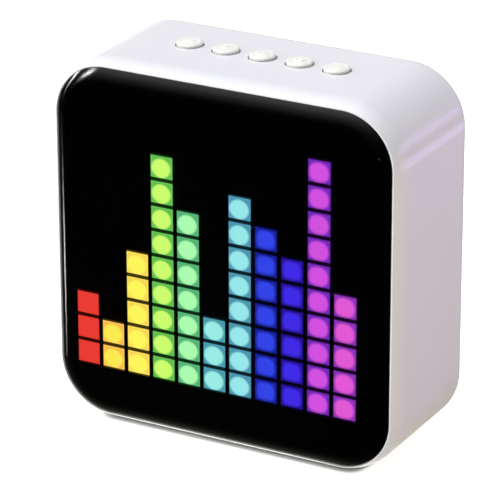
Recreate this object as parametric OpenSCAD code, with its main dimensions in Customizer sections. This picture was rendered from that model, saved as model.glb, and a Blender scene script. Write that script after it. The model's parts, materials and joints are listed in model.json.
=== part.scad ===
// Pixel desk clock: a rounded square case that stands on small rubber feet, with a
// black lens over a grid of lit pixels, five push buttons on top, a loudspeaker behind
// a drilled grille in the back cover, and a cell and boards inside.
// Millimetres. The clock faces -Y, +X is to the right of someone facing it, +Z is up.
// The origin is at the middle of the footprint, on the surface that it stands on.

/* [Case] */
// Width of the case
case_w = 100; // [94:0.5:130]
// Height of the case
case_h = 100; // [94:0.5:130]
// Depth of the case from its front rim to its back
case_d = 41.2; // [39:0.2:60]
// Outer corner radius, seen from the front
corner_r = 16; // [14:0.5:22]
// Wall of the case
wall = 2.6; // [2.2:0.1:3.2]
// Depth over which the front edge draws in
front_round_d = 5.4; // [3:0.1:8]
// How far the front edge draws in
front_round_in = 1.2; // [0.6:0.05:1.5]
// Flat land between the front edge and the lens
front_land = 0.35; // [0.2:0.05:0.5]
// Radius of the rear edge, which is also the thickness of the rear rim
rear_round_r = 3.8; // [3.4:0.1:5]
// Depth of the thick rear rim
rear_rim_d = 4.6; // [4:0.1:7]

/* [Lens] */
// Thickness of the lens
lens_t = 2.3; // [1.8:0.1:3]
// How deep the lens sits in the front rim
lens_seat = 0.6; // [0.4:0.05:0.9]
// Gap between the lens and the front rim
lens_gap = 0.05; // [0.03:0.01:0.15]
// Width of the rounded edge of the lens
lens_edge_w = 4.45; // [2:0.05:8]
// Depth of the rounded edge of the lens
lens_edge_d = 1.4; // [0.6:0.05:1.6]
// Thickness of the adhesive under the edge of the lens
adhesive_t = 0.2; // [0.1:0.05:0.4]
// Distance of the microphone hole from the right edge of the lens
mic_from_side = 3.1; // [2.6:0.1:4.5]
// Distance of the microphone hole from the top edge of the lens
mic_from_top = 10.5; // [9:0.5:20]
// Diameter of the microphone hole
mic_hole_d = 0.8; // [0.5:0.1:1.2]

/* [Pixels] */
// Pixels in a row
pixel_cols = 11; // [8:1:16]
// Pixels in a column
pixel_rows = 11; // [8:1:16]
// Black margin left of the pixels
margin_left = 4.25; // [3.2:0.05:12]
// Black margin right of the pixels
margin_right = 9.05; // [8:0.05:14]
// Black margin above the pixels
margin_top = 6.95; // [6.2:0.05:14]
// Black margin below the pixels
margin_bottom = 12.55; // [9:0.05:18]
// Wall between two pixels
pixel_wall = 0.92; // [0.6:0.02:1.2]
// Thickness of the diffuser sheet
diffuser_t = 0.6; // [0.3:0.1:1]
// Depth of the light baffle
baffle_d = 5.9; // [4:0.1:8]
// Thickness of the baffle's floor behind the pixels
baffle_floor = 0.7; // [0.5:0.1:1.2]
// Width of an LED package
led_w = 3; // [2:0.1:3.2]
// Height of an LED package
led_h = 1.4; // [0.8:0.1:2]
// Gap round an LED in its window
led_gap = 0.2; // [0.1:0.05:0.3]
// Gap between the display stack and the wall of the case
stack_gap = 0.3; // [0.2:0.05:0.6]

/* [Boards] */
// Thickness of a circuit board
board_t = 1.6; // [1:0.1:2]
// Thickness of the shelf that carries the display
shelf_t = 2; // [1.6:0.1:3]
// Width of the shelf
shelf_w = 7; // [6:0.1:9]
// Height of the posts under the main board
main_post_h = 2.4; // [2:0.1:4]
// Gap between the main board and the wall of the case
main_gap = 1.5; // [1:0.1:3]
// Height of a lead socket on the main board
socket_h = 4.6; // [3:0.1:6]

/* [Buttons] */
// Diameter of a button
button_d = 6.9; // [5:0.1:8]
// Gap round a button in the case
button_gap = 0.4; // [0.2:0.05:0.5]
// Distance between two buttons
button_pitch = 10.7; // [10:0.1:13]
// Distance of the button row from the front rim
button_row_y = 22.2; // [18:0.1:26]
// How far a button stands proud of the case
button_proud = 1.1; // [0.6:0.1:1.6]
// Travel of a button
button_travel = 0.5; // [0.3:0.05:0.6]
// Thickness of the flange that keeps a button in
button_flange_t = 1.2; // [0.8:0.1:2]
// Width of the flange beyond the button
button_flange_w = 0.85; // [0.6:0.05:1]
// Radius of the button's rounded rim
button_rim_r = 0.5; // [0.3:0.05:1]
// Width of a push switch
switch_w = 6; // [4.5:0.1:6.5]
// Height of a push switch without its plunger
switch_h = 2.4; // [2:0.1:4]
// Diameter of a switch's plunger
plunger_d = 2.4; // [1.6:0.1:3]
// Width of the button board, front to back
button_board_w = 11; // [8:0.5:14]

/* [Back cover] */
// Thickness of the back cover
cover_t = 2.4; // [2:0.1:3]
// How far the back cover lies below the rear edge
cover_recess = 0.3; // [0:0.1:0.8]
// Gap between the back cover and the rear rim
cover_gap = 0.2; // [0.1:0.05:0.4]
// Radius of a screw boss
boss_r = 3.4; // [3:0.1:4]
// Radius of the counterbore for a cover screw
cbore_r = 2.8; // [2.6:0.1:3.2]
// Depth of the counterbore for a cover screw
cbore_d = 1.2; // [1:0.1:1.3]
// Diameter of a grille hole
grille_hole_d = 2; // [1.2:0.1:2.6]
// Distance between two rings of grille holes
grille_pitch = 3.5; // [3.2:0.1:3.8]
// Rings of grille holes round the middle one
grille_rings = 5; // [3:1:5]
// Depth of the dished field that holds the grille
grille_dish_d = 0.5; // [0.2:0.1:0.8]

/* [Loudspeaker] */
// Outer radius of the loudspeaker's flange
speaker_r = 26; // [24:0.5:28]
// Thickness of the flange
speaker_flange_t = 1.2; // [1:0.1:2]
// Thickness of the gasket
gasket_t = 0.8; // [0.5:0.1:1.2]
// Depth of the basket behind the flange
basket_d = 8.5; // [8:0.1:11]
// Radius of the cone at its rim
cone_r = 17.3; // [16:0.1:17.4]
// Thickness of the cone
cone_t = 0.6; // [0.4:0.1:0.8]
// Travel of the cone each way
cone_travel = 0.8; // [0.4:0.1:1]
// Radius of the magnet
magnet_r = 14.5; // [12:0.5:16]
// Thickness of the magnet
magnet_t = 4; // [3:0.5:6]

/* [Power] */
// Diameter of the rechargeable cell
cell_d = 18.3; // [14:0.1:18.6]
// Length of the rechargeable cell
cell_len = 50; // [40:0.5:56]
// Thickness of the cradle's base under the cell
cradle_t = 1.2; // [0.8:0.1:2]
// Width of the power inlet
inlet_w = 7.5; // [7:0.1:9]
// Height of the power inlet
inlet_h = 2.6; // [2.4:0.1:3.2]
// Length of the power inlet
inlet_len = 5.6; // [5:0.1:7]
// Diameter of a lead
lead_d = 1.2; // [0.8:0.1:1.4]

/* [Feet] */
// Diameter of a foot
foot_d = 9; // [6:0.5:12]
// How far a foot stands below the case
foot_h = 0.8; // [0.5:0.1:2]
// How deep a foot sits in the case
foot_sink = 0.8; // [0.5:0.1:1.2]
// Distance of a foot's middle from the front rim or the back
foot_inset = 10; // [8:0.5:14]

/* [Hidden] */
$fn = 64;

// Case
half_w = case_w / 2;
half_h = case_h / 2;
in_x = half_w - wall;
in_z = half_h - wall;
in_r = corner_r - wall;
front_arc_r = (front_round_d * front_round_d + front_round_in * front_round_in) / (2 * front_round_in);
fuse = 0.5;
slack = 0.05;
cut = 1;

// Display stack, as depths behind the front rim
lens_in = front_round_in + front_land;
lens_x = half_w - lens_in - lens_gap;
lens_z = half_h - lens_in - lens_gap;
lens_r = corner_r - lens_in - lens_gap;
lens_proud = lens_t - lens_seat;
seat_y = lens_seat + adhesive_t;
adhesive_in = 0.15;
baffle_y = lens_seat + diffuser_t;
led_board_y = baffle_y + baffle_d;
shelf_y = led_board_y + board_t;
shelf_back = shelf_y + shelf_t;
stack_x = in_x - stack_gap;
stack_z = in_z - stack_gap;
stack_r = in_r - stack_gap;
pixels_left = margin_left - lens_x;
pixels_right = lens_x - margin_right;
pixels_top = lens_z - margin_top;
pixels_bottom = margin_bottom - lens_z;
pitch_x = (pixels_right - pixels_left) / pixel_cols;
pitch_z = (pixels_top - pixels_bottom) / pixel_rows;
shelf_open_x = in_x - shelf_w;
shelf_open_z = in_z - shelf_w;
shelf_least_r = 2;
shelf_open_r = max(in_r - shelf_w, shelf_least_r);
mic_x = lens_x - mic_from_side;
mic_z = lens_z - mic_from_top;
mic_r = 1.6;
mic_h = 1.6;
mic_room = 0.6;
capsule_in = 1.7;
capsule_down = 0.5;
capsule_x = mic_x - capsule_in;
capsule_z = mic_z - capsule_down;
driver_w = 9;
driver_t = 1.5;
driver_h = 4;
display_screw_r = 1;
display_screw_x = 20;
display_screw_top = (pixels_top + stack_z) / 2;
display_screw_bottom = (pixels_bottom - stack_z) / 2;
display_screw_bite = 3;

// Back cover and its bosses
cover_y1 = case_d - cover_recess;
cover_y0 = cover_y1 - cover_t;
cover_x = half_w - rear_round_r - cover_gap;
cover_z = half_h - rear_round_r - cover_gap;
cover_r = corner_r - rear_round_r - cover_gap;
cbore_edge = 1;
boss_reach = cover_r - cbore_r - cbore_edge;
boss_x = half_w - corner_r + boss_reach * cos(45);
boss_z = half_h - corner_r + boss_reach * sin(45);
boss_rib = 2.4;
boss_rib_low = 2;
cover_screw_r = 1.1;
cover_screw_bite = 9;
cover_head_gap = 0.2;
cover_head_sink = 0.1;
cover_hole_gap = 0.3;
cover_head_r = cbore_r - cover_head_gap;
corners = [for (sx = [-1, 1], sz = [-1, 1]) [sx, sz]];

// Buttons, as heights above the middle of the case
button_r = button_d / 2;
button_hole_r = button_r + button_gap;
button_xs = [for (i = [-2 : 2]) i * button_pitch];
button_top = half_h + button_proud;
button_rest_gap = 0.3;
flange_top = in_z - button_rest_gap;
flange_bottom = flange_top - button_flange_t;
stem_h = 0.7;
stem_r = 1.6;
plunger_top = flange_bottom - stem_h;
plunger_r = plunger_d / 2;
plunger_spare = 0.1;
plunger_out = button_travel + plunger_spare;
plunger_in = 0.8;
switch_top = plunger_top - plunger_out;
switch_bottom = switch_top - switch_h;
plunger_bottom = switch_top - plunger_in;
plunger_gap = 0.2;
plunger_room = 0.2;
button_board_top = switch_bottom;
button_board_bottom = button_board_top - board_t;
button_post_r = 1.9;
button_post_gap = 0.6;
button_board_edge = 1;
button_post_x = button_xs[4] + button_r + button_flange_w + button_post_r + button_post_gap;
button_board_x = button_post_x + button_post_r + button_board_edge;
button_dome = 0.25;
small_screw_r = 0.9;
small_head_r = 1.7;
small_head_h = 1.3;
small_bite = 3.5;
hole_spare = 0.5;

// Cell, low in the case
cell_r = cell_d / 2;
strap_t = 0.5;
strap_w = 9;
cell_y = (shelf_back + cover_y0) / 2;
strap_gap = 0.3;
cell_z = -in_z + cradle_t + strap_t + strap_gap + cell_r;
cell_top = cell_z + cell_r + slack + strap_t;
cell_end_r = 0.8;
saddle_in = 7;
saddle_x = cell_len / 2 - saddle_in;
saddle_w = 4;
saddle_low = 1;
cradle_lip = 1;
cradle_w = cell_d + 2 * cradle_lip;

// Loudspeaker on the back cover, between the cell and the button board
speaker_z = (cell_top + button_board_bottom - small_head_h) / 2;
flange_y1 = cover_y0 - gasket_t;
flange_y0 = flange_y1 - speaker_flange_t;
surround_w = 3.3;
flange_in_r = cone_r + surround_w;
motor_y = flange_y1 - basket_d;
top_plate_t = 1.6;
back_plate_t = 1.6;
magnet_y = motor_y - top_plate_t - magnet_t;
yoke_y = magnet_y - back_plate_t;
pole_r = 6;
gap_r = 7.4;
coil_in_r = 6.45;
coil_out_r = 6.95;
coil_dip = 0.6;
neck_rise = 1.6;
neck_y = motor_y + cone_travel + neck_rise;
cone_edge_y = flange_y0 - cone_t;
cone_slope = (cone_edge_y - neck_y) / (cone_r - coil_in_r);
cap_r = 8.5;
cap_ball_r = 14;
cap_t = 0.4;
cap_y = neck_y + cone_t + (cap_r - coil_in_r) * cone_slope;
roll_gap = 0.3;
roll_in_r = cone_r + roll_gap;
roll_out_r = flange_in_r - slack;
roll_t = 0.4;
mesh_t = 0.3;
grille_field_r = grille_pitch * grille_rings + grille_hole_d;
speaker_screw_r = 1;
speaker_screw_out = 0.3;
speaker_screw_pcr = (flange_in_r + speaker_r) / 2 + speaker_screw_out;
speaker_skin = 0.6;
speaker_hole_spare = 0.2;
mesh_in = 0.2;
speaker_bite = cover_t - grille_dish_d - speaker_skin;
basket_skin = 1;
basket_foot_gap = 0.4;
magnet_in_gap = 1.1;
basket_window_w = 12;
motor_step = 1;

// Main board behind the shelf
main_y = shelf_back + main_post_h;
main_back = main_y + board_t;
main_x = in_x - main_gap;
main_top_gap = 1;
main_bottom_gap = 2;
main_top = boss_z - boss_r - main_top_gap;
main_bottom = cell_top + main_bottom_gap;
main_notch_r = 4;
main_post_r = 2.3;
main_post_x = in_x - shelf_w / 2;
main_post_in = 4.5;
main_post_zs = [main_bottom + main_post_in, main_top - main_post_in];
socket_w = 5;
socket_d = 4;
backup_r = 6.2;
backup_t = 2;
backup_rim = 0.9;
backup_base = 0.6;
backup_in_x = 27;
backup_in_z = 2.5;
backup_x = backup_in_x - main_x;
backup_y = main_back + backup_base;
backup_z = main_bottom + backup_r + backup_in_z;
radio_w = 16;
radio_h = 12;
radio_t = 2.2;
radio_skirt = 0.6;
radio_in_x = 22;
radio_in_z = 10;
header_w = 20;
header_d = 5;
header_up = 16;
header_z = speaker_z + header_up;
chip_t = 1.4;
processor_w = 12;
memory_w = 8;
memory_h = 5;
memory_x = 14;
memory_up = 8;
amplifier_w = 6;
amplifier_x = 14;
amplifier_down = 8;
charger_w = 5;
charger_h = 4;
charger_x = 12;
charger_up = 9;

// Power inlet on its own small board, beside the cell
port_w = 12;
port_h = 13;
port_t = 1.2;
port_gap = 1.5;
port_x = boss_x + boss_r - port_w / 2;
port_z = -boss_z + boss_r + port_gap + port_h / 2;
inlet_wall = 0.3;
inlet_r = 0.8;
inlet_sink = 0.5;
inlet_y1 = cover_y1 - inlet_sink;
inlet_y0 = inlet_y1 - inlet_len;
inlet_floor = 1;
inlet_gap = 0.3;
plug_rim = 1.8;
plug_rim_d = 0.9;
port_post_in = 2.1;
port_post_z = port_h / 2 - port_post_in;
port_post_r = 1.8;
tongue_side = 1.35;
tongue_w = inlet_w - 2 * tongue_side;
tongue_t = 0.7;
tongue_sink = 0.8;

// Leads, a little thicker where they bend, and their sockets on the main board
lead_r = lead_d / 2;
lead_apart = 0.6;
lead_rise = 4;
lead_step = lead_d + lead_apart;
bend_swell = 0.08;
socket_y = main_back + socket_h;
battery_socket_out = 3;
port_socket_in = 3.5;
button_socket_in = 5;
button_socket_down = 6;
speaker_socket_in = 10;
speaker_socket_down = 6;
button_lead_back = 2;
battery_socket = [cell_len / 2 + battery_socket_out, main_bottom + socket_d / 2];
port_socket = [port_x - port_socket_in, main_bottom + socket_d / 2];
button_socket = [button_socket_in - button_post_x, main_top - button_socket_down];
speaker_socket = [speaker_socket_in - main_x, speaker_z - speaker_socket_down];

// Feet
foot_r = foot_d / 2;
foot_x = half_w - corner_r;
foot_ys = [foot_inset, case_d - foot_inset];

// Place of the case in the frame
rim_y = -(case_d - lens_proud) / 2;
mid_z = foot_h + half_h;

// Moves a piece from the case's own place, with the front rim at Y 0 and the middle
// of the case at Z 0, to the frame
module placed() {
    translate([0, rim_y, mid_z]) children();
}

// A flat outline in X and Z, given depth from y0 to y1
module along_y(y0, y1) {
    translate([0, y1, 0]) rotate([90, 0, 0]) linear_extrude(height = y1 - y0) children();
}

module rod_x(y, z, r, x0, x1) {
    translate([x0, y, z]) rotate([0, 90, 0]) cylinder(r = r, h = x1 - x0);
}

module rod_y(x, z, r, y0, y1) {
    translate([x, y0, z]) rotate([-90, 0, 0]) cylinder(r = r, h = y1 - y0);
}

module rod_z(x, y, r, z0, z1) {
    translate([x, y, z0]) cylinder(r = r, h = z1 - z0);
}

// A block between two opposite corners
module block(low, high) {
    translate(low) cube(high - low);
}

// A profile of radius and depth, turned about the loudspeaker's axis
module turned_y(x, z) {
    translate([x, 0, z]) rotate([-90, 0, 0]) rotate_extrude() children();
}

module rounded_rect(hx, hz, r) {
    square([2 * hx, 2 * (hz - r)], center = true);
    square([2 * (hx - r), 2 * hz], center = true);
    for (c = corners) {
        translate([c[0] * (hx - r), c[1] * (hz - r)]) circle(r = r);
    }
}

// Carries a wall profile, of distance from the corner's centre and depth, round a
// rounded rectangle of half sizes hx and hz and corner radius r
module swept_rim(hx, hz, r) {
    cx = hx - r;
    cz = hz - r;
    for (s = [0, 1]) {
        mirror([s, 0, 0]) translate([cx, 0, -cz]) linear_extrude(height = 2 * cz) children();
        mirror([0, 0, s]) rotate([0, -90, 0]) translate([cz, 0, -cx])
            linear_extrude(height = 2 * cx) children();
    }
    for (c = [[1, -1, 0], [1, 1, -90], [-1, 1, -180], [-1, -1, -270]]) {
        translate([c[0] * cx, 0, c[1] * cz]) rotate([0, c[2], 0]) rotate([-90, 0, 0])
            rotate_extrude(angle = 90) children();
    }
}

// A screw along +Y, with its head from head_y to seat_y and its shank on to tip_y
module screw_y(x, z, head_r, shank_r, head_y, seat_y, tip_y) {
    rod_y(x, z, head_r, min(head_y, seat_y), max(head_y, seat_y));
    rod_y(x, z, shank_r, min(seat_y, tip_y), max(seat_y, tip_y));
}

// A lead through a list of points
module lead(points, r) {
    for (i = [0 : len(points) - 2]) {
        step = points[i + 1] - points[i];
        reach = norm(step);
        translate(points[i]) rotate([0, acos(step[2] / reach), atan2(step[1], step[0])])
            cylinder(r = r, h = reach);
    }
    for (i = [1 : len(points) - 2]) {
        translate(points[i]) sphere(r = r + bend_swell);
    }
}

// Two leads side by side, apart along the given direction
module lead_pair(points, apart) {
    for (s = [-1, 1]) {
        lead([for (p = points) p + s * apart * lead_step / 2], lead_r);
    }
}

// Section of the case wall: drawn in at the front, with a pocket for the lens, and
// thick and rounded at the rear rim
module case_section() {
    difference() {
        union() {
            translate([corner_r - wall, front_round_d])
                square([wall, case_d - rear_round_r - front_round_d]);
            intersection() {
                translate([corner_r - front_arc_r, front_round_d]) circle(r = front_arc_r);
                translate([corner_r - wall, 0]) square([wall, front_round_d]);
            }
            translate([corner_r - rear_round_r, case_d - rear_rim_d])
                square([rear_round_r, rear_rim_d - rear_round_r]);
            intersection() {
                translate([corner_r - rear_round_r, case_d - rear_round_r]) circle(r = rear_round_r);
                translate([corner_r - rear_round_r, case_d - rear_round_r]) square(rear_round_r);
            }
        }
        translate([0, -cut]) square([corner_r - lens_in, seat_y + cut]);
    }
}

// A boss for a cover screw, tied to the corner of the case by a rib
module cover_boss(sx, sz) {
    rod_y(sx * boss_x, sz * boss_z, boss_r, shelf_back - fuse, cover_y0);
    translate([sx * boss_x, shelf_back - fuse, sz * boss_z]) rotate([0, -sz * (90 - sx * 45), 0])
        translate([0, 0, -boss_rib / 2])
            cube([in_r - boss_reach + fuse, cover_y0 - shelf_back - boss_rib_low, boss_rib]);
}

module front_shell() {
    color("white") placed() difference() {
        union() {
            swept_rim(half_w, half_h, corner_r) case_section();
            along_y(shelf_y, shelf_back) difference() {
                rounded_rect(in_x + fuse, in_z + fuse, in_r + fuse);
                rounded_rect(shelf_open_x, shelf_open_z, shelf_open_r);
            }
            for (c = corners) {
                cover_boss(c[0], c[1]);
            }
            for (sx = [-1, 1], z = main_post_zs) {
                rod_y(sx * main_post_x, z, main_post_r, shelf_back - fuse, main_y);
            }
            for (sx = [-1, 1]) {
                rod_z(sx * button_post_x, button_row_y, button_post_r, button_board_top, in_z + fuse);
            }
        }
        for (x = button_xs) {
            rod_z(x, button_row_y, button_hole_r, in_z - fuse, half_h + cut);
        }
        for (c = corners) {
            rod_y(c[0] * boss_x, c[1] * boss_z, cover_screw_r + slack,
                cover_y0 - cover_screw_bite - cut, cover_y0 + cut);
        }
        for (sx = [-1, 1], z = [display_screw_top, display_screw_bottom]) {
            rod_y(sx * display_screw_x, z, display_screw_r + slack, shelf_y - cut, shelf_back + cut);
        }
        for (sx = [-1, 1], z = main_post_zs) {
            rod_y(sx * main_post_x, z, small_screw_r + slack,
                main_y - small_bite - hole_spare, main_y + cut);
        }
        for (sx = [-1, 1]) {
            rod_z(sx * button_post_x, button_row_y, small_screw_r + slack,
                button_board_top - cut, button_board_top + small_bite + hole_spare);
        }
        for (sx = [-1, 1], y = foot_ys) {
            rod_z(sx * foot_x, y, foot_r + slack, -half_h - cut, -half_h + foot_sink);
        }
    }
}

// Outline of the power inlet, or of a space round it
module inlet_outline(more) {
    translate([port_x, port_z]) rounded_rect(inlet_w / 2 + more, inlet_h / 2 + more, inlet_r + more / 2);
}

module rear_cover() {
    color("whitesmoke") placed() difference() {
        union() {
            along_y(cover_y0, cover_y1) rounded_rect(cover_x, cover_z, cover_r);
            for (s = [-1, 1]) {
                rod_y(port_x, port_z + s * port_post_z, port_post_r, inlet_y0, cover_y0 + fuse);
            }
        }
        rod_y(0, speaker_z, grille_field_r, cover_y1 - grille_dish_d, cover_y1 + cut);
        for (ring = [0 : grille_rings], k = [0 : max(6 * ring, 1) - 1]) {
            turn = 60 * k / max(ring, 1);
            rod_y(ring * grille_pitch * cos(turn), speaker_z + ring * grille_pitch * sin(turn),
                grille_hole_d / 2, cover_y0 - cut, cover_y1 + cut);
        }
        for (c = corners) {
            rod_y(c[0] * boss_x, c[1] * boss_z, cover_screw_r + cover_hole_gap,
                cover_y0 - cut, cover_y1 + cut);
            rod_y(c[0] * boss_x, c[1] * boss_z, cbore_r, cover_y1 - cbore_d, cover_y1 + cut);
        }
        for (k = [0 : 3]) {
            rod_y(speaker_screw_pcr * cos(45 + 90 * k), speaker_z + speaker_screw_pcr * sin(45 + 90 * k),
                speaker_screw_r + slack, cover_y0 - cut, cover_y0 + speaker_bite + speaker_hole_spare);
        }
        along_y(cover_y0 - cut, cover_y1 + cut) inlet_outline(inlet_gap);
        along_y(cover_y1 - plug_rim_d, cover_y1 + cut) inlet_outline(plug_rim);
        for (s = [-1, 1]) {
            rod_y(port_x, port_z + s * port_post_z, small_screw_r + slack,
                inlet_y0 - cut, inlet_y0 + small_bite);
        }
    }
}

module rear_screws() {
    color("dimgray") placed() for (c = corners) {
        screw_y(c[0] * boss_x, c[1] * boss_z, cover_head_r, cover_screw_r,
            cover_y1 - cover_head_sink, cover_y1 - cbore_d, cover_y0 - cover_screw_bite);
    }
}

module feet() {
    color("dimgray") placed() for (sx = [-1, 1], y = foot_ys) {
        rod_z(sx * foot_x, y, foot_r, -half_h - foot_h, -half_h + foot_sink);
    }
}

// Section of the lens, of distance from the corner's centre and depth, with its front
// edge rounded off along an arc that runs out level with the front face
module lens_section() {
    arc_r = (lens_edge_w * lens_edge_w + lens_edge_d * lens_edge_d) / (2 * lens_edge_d);
    translate([0, lens_edge_d - lens_proud]) square([lens_r, lens_t - lens_edge_d]);
    translate([0, -lens_proud]) square([lens_r - lens_edge_w, lens_edge_d]);
    intersection() {
        translate([lens_r - lens_edge_w, arc_r - lens_proud]) circle(r = arc_r);
        translate([lens_r - lens_edge_w, -lens_proud]) square([lens_edge_w, lens_edge_d]);
    }
}

module display_lens() {
    color("black") placed() difference() {
        union() {
            swept_rim(lens_x, lens_z, lens_r) lens_section();
            block([lens_r - lens_x, -lens_proud, lens_r - lens_z],
                [lens_x - lens_r, lens_seat, lens_z - lens_r]);
        }
        rod_y(mic_x, mic_z, mic_hole_d / 2, -lens_proud - cut, lens_seat + cut);
    }
}

module lens_adhesive() {
    color("dimgray") placed() along_y(lens_seat, seat_y) difference() {
        rounded_rect(lens_x - adhesive_in, lens_z - adhesive_in, lens_r - adhesive_in);
        rounded_rect(in_x + slack, in_z + slack, in_r + slack);
    }
}

module diffuser_sheet() {
    color("gainsboro") placed() difference() {
        along_y(lens_seat, baffle_y) rounded_rect(stack_x, stack_z, stack_r);
        rod_y(mic_x, mic_z, mic_hole_d / 2, lens_seat - cut, baffle_y + cut);
    }
}

// Places its child at the middle of each pixel
module each_pixel() {
    for (i = [0 : pixel_cols - 1], j = [0 : pixel_rows - 1]) {
        translate([pixels_left + (i + 0.5) * pitch_x, pixels_bottom + (j + 0.5) * pitch_z]) children();
    }
}

// One light well for each pixel: open to the front, with a window for its LED behind
module led_baffle() {
    floor_y = led_board_y - baffle_floor;
    color("black") placed() difference() {
        union() {
            along_y(baffle_y, floor_y) difference() {
                rounded_rect(stack_x, stack_z, stack_r);
                each_pixel() square([pitch_x - pixel_wall, pitch_z - pixel_wall], center = true);
            }
            along_y(floor_y, led_board_y) difference() {
                rounded_rect(stack_x, stack_z, stack_r);
                each_pixel() square(led_w + 2 * led_gap, center = true);
            }
        }
        rod_y(mic_x, mic_z, mic_hole_d / 2, baffle_y - cut, led_board_y - mic_h);
        rod_y(capsule_x, capsule_z, mic_r + slack, led_board_y - mic_h - mic_room, led_board_y + cut);
        for (sx = [-1, 1], z = [display_screw_top, display_screw_bottom]) {
            rod_y(sx * display_screw_x, z, display_screw_r + slack,
                led_board_y - display_screw_bite - hole_spare, led_board_y + cut);
        }
    }
}

module led_board() {
    color("darkgreen") placed() difference() {
        along_y(led_board_y, shelf_y) rounded_rect(stack_x, stack_z, stack_r);
        for (sx = [-1, 1], z = [display_screw_top, display_screw_bottom]) {
            rod_y(sx * display_screw_x, z, display_screw_r + slack, led_board_y - cut, shelf_y + cut);
        }
    }
}

module leds() {
    color("ivory") placed() along_y(led_board_y - led_h, led_board_y)
        each_pixel() square(led_w, center = true);
}

// Row drivers on the back of the LED board, inside the opening of the shelf
module led_drivers() {
    color("black") placed() for (i = [-1, 1], j = [-1, 0]) {
        translate([i * shelf_open_x / 2, shelf_y, j * shelf_open_z / 2])
            block([-driver_w / 2, 0, -driver_h / 2], [driver_w / 2, driver_t, driver_h / 2]);
    }
}

module display_screws() {
    color("silver") placed() for (sx = [-1, 1], z = [display_screw_top, display_screw_bottom]) {
        screw_y(sx * display_screw_x, z, small_head_r, display_screw_r,
            shelf_back + small_head_h, shelf_back, led_board_y - display_screw_bite);
    }
}

module microphone() {
    color("silver") placed() rod_y(capsule_x, capsule_z, mic_r, led_board_y - mic_h, led_board_y);
}

// Pins that join the LED board to the main board
module board_header() {
    color("black") placed() block([-header_w / 2, shelf_y, header_z - header_d / 2],
        [header_w / 2, main_y, header_z + header_d / 2]);
}

module main_board() {
    color("darkgreen") placed() difference() {
        block([-main_x, main_y, main_bottom], [main_x, main_back, main_top]);
        for (sx = [-1, 1], z = main_post_zs) {
            rod_y(sx * main_post_x, z, small_screw_r + slack, main_y - cut, main_back + cut);
        }
        for (sx = [-1, 1]) {
            rod_y(sx * main_x, (main_bottom + main_top) / 2, main_notch_r, main_y - cut, main_back + cut);
        }
    }
}

module main_board_screws() {
    color("silver") placed() for (sx = [-1, 1], z = main_post_zs) {
        screw_y(sx * main_post_x, z, small_head_r, small_screw_r,
            main_back + small_head_h, main_back, main_y - small_bite);
    }
}

// Processor, memory, amplifier and charger, as width, height and place on the main board
module main_chips() {
    chips = [
        [processor_w, processor_w, 0, 0],
        [memory_w, memory_h, memory_x, memory_up],
        [amplifier_w, amplifier_w, -amplifier_x, -amplifier_down],
        [charger_w, charger_h, -charger_x, charger_up],
    ];
    color("black") placed() for (c = chips) {
        translate([c[2], main_back, speaker_z + c[3]])
            block([-c[0] / 2, 0, -c[1] / 2], [c[0] / 2, chip_t, c[1] / 2]);
    }
}

// Screened can over the radio
module radio_shield() {
    color("silver") placed() translate([main_x - radio_in_x, main_back, main_top - radio_in_z]) {
        block([-radio_w / 2, 0, -radio_h / 2], [radio_w / 2, radio_t - radio_skirt, radio_h / 2]);
        block([radio_skirt - radio_w / 2, radio_t - radio_skirt, radio_skirt - radio_h / 2],
            [radio_w / 2 - radio_skirt, radio_t, radio_h / 2 - radio_skirt]);
    }
}

module lead_sockets() {
    color("ivory") placed() for (s = [battery_socket, port_socket, button_socket, speaker_socket]) {
        translate([s[0], main_back, s[1]])
            block([-socket_w / 2, 0, -socket_d / 2], [socket_w / 2, socket_h, socket_d / 2]);
    }
}

// Open clip for the coin cell that keeps the time
module backup_clip() {
    color("black") placed() difference() {
        rod_y(backup_x, backup_z, backup_r + backup_rim, main_back, backup_y + backup_t / 2);
        rod_y(backup_x, backup_z, backup_r + slack, backup_y, backup_y + backup_t);
    }
}

module backup_cell() {
    color("silver") placed() rod_y(backup_x, backup_z, backup_r, backup_y, backup_y + backup_t);
}

module battery_cradle() {
    color("white") placed() difference() {
        union() {
            block([-saddle_x - saddle_w / 2, cell_y - cradle_w / 2, -in_z],
                [saddle_x + saddle_w / 2, cell_y + cradle_w / 2, -in_z + cradle_t]);
            for (sx = [-1, 1]) {
                block([sx * saddle_x - saddle_w / 2, cell_y - cradle_w / 2, -in_z],
                    [sx * saddle_x + saddle_w / 2, cell_y + cradle_w / 2, cell_z - saddle_low]);
            }
        }
        rod_x(cell_y, cell_z, cell_r + slack, -cell_len, cell_len);
    }
}

// The wrapped cell with its rounded ends
module battery_cell() {
    color("steelblue") placed()
        translate([-cell_len / 2, cell_y, cell_z]) rotate([0, 90, 0]) rotate_extrude() {
        translate([0, cell_end_r]) square([cell_r, cell_len - 2 * cell_end_r]);
        square([cell_r - cell_end_r, cell_len]);
        for (y = [cell_end_r, cell_len - cell_end_r]) {
            intersection() {
                translate([cell_r - cell_end_r, y]) circle(r = cell_end_r);
                translate([cell_r - cell_end_r, 0]) square([cell_end_r, cell_len]);
            }
        }
    }
}

module battery_strap() {
    color("dimgray") placed() difference() {
        rod_x(cell_y, cell_z, cell_r + slack + strap_t, -strap_w / 2, strap_w / 2);
        rod_x(cell_y, cell_z, cell_r + slack, -strap_w, strap_w);
    }
}

// From the end of the cell, up beside it and into their socket
module battery_leads() {
    color("firebrick") placed() for (s = [-1, 1]) {
        x = battery_socket[0] + s * lead_step / 2;
        z = battery_socket[1] + s * lead_step / 2;
        end_z = cell_z - s * lead_step / 2;
        lead([[x, socket_y, z], [x, cell_y, z], [x, cell_y, end_z], [cell_len / 2, cell_y, end_z]], lead_r);
    }
}

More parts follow.
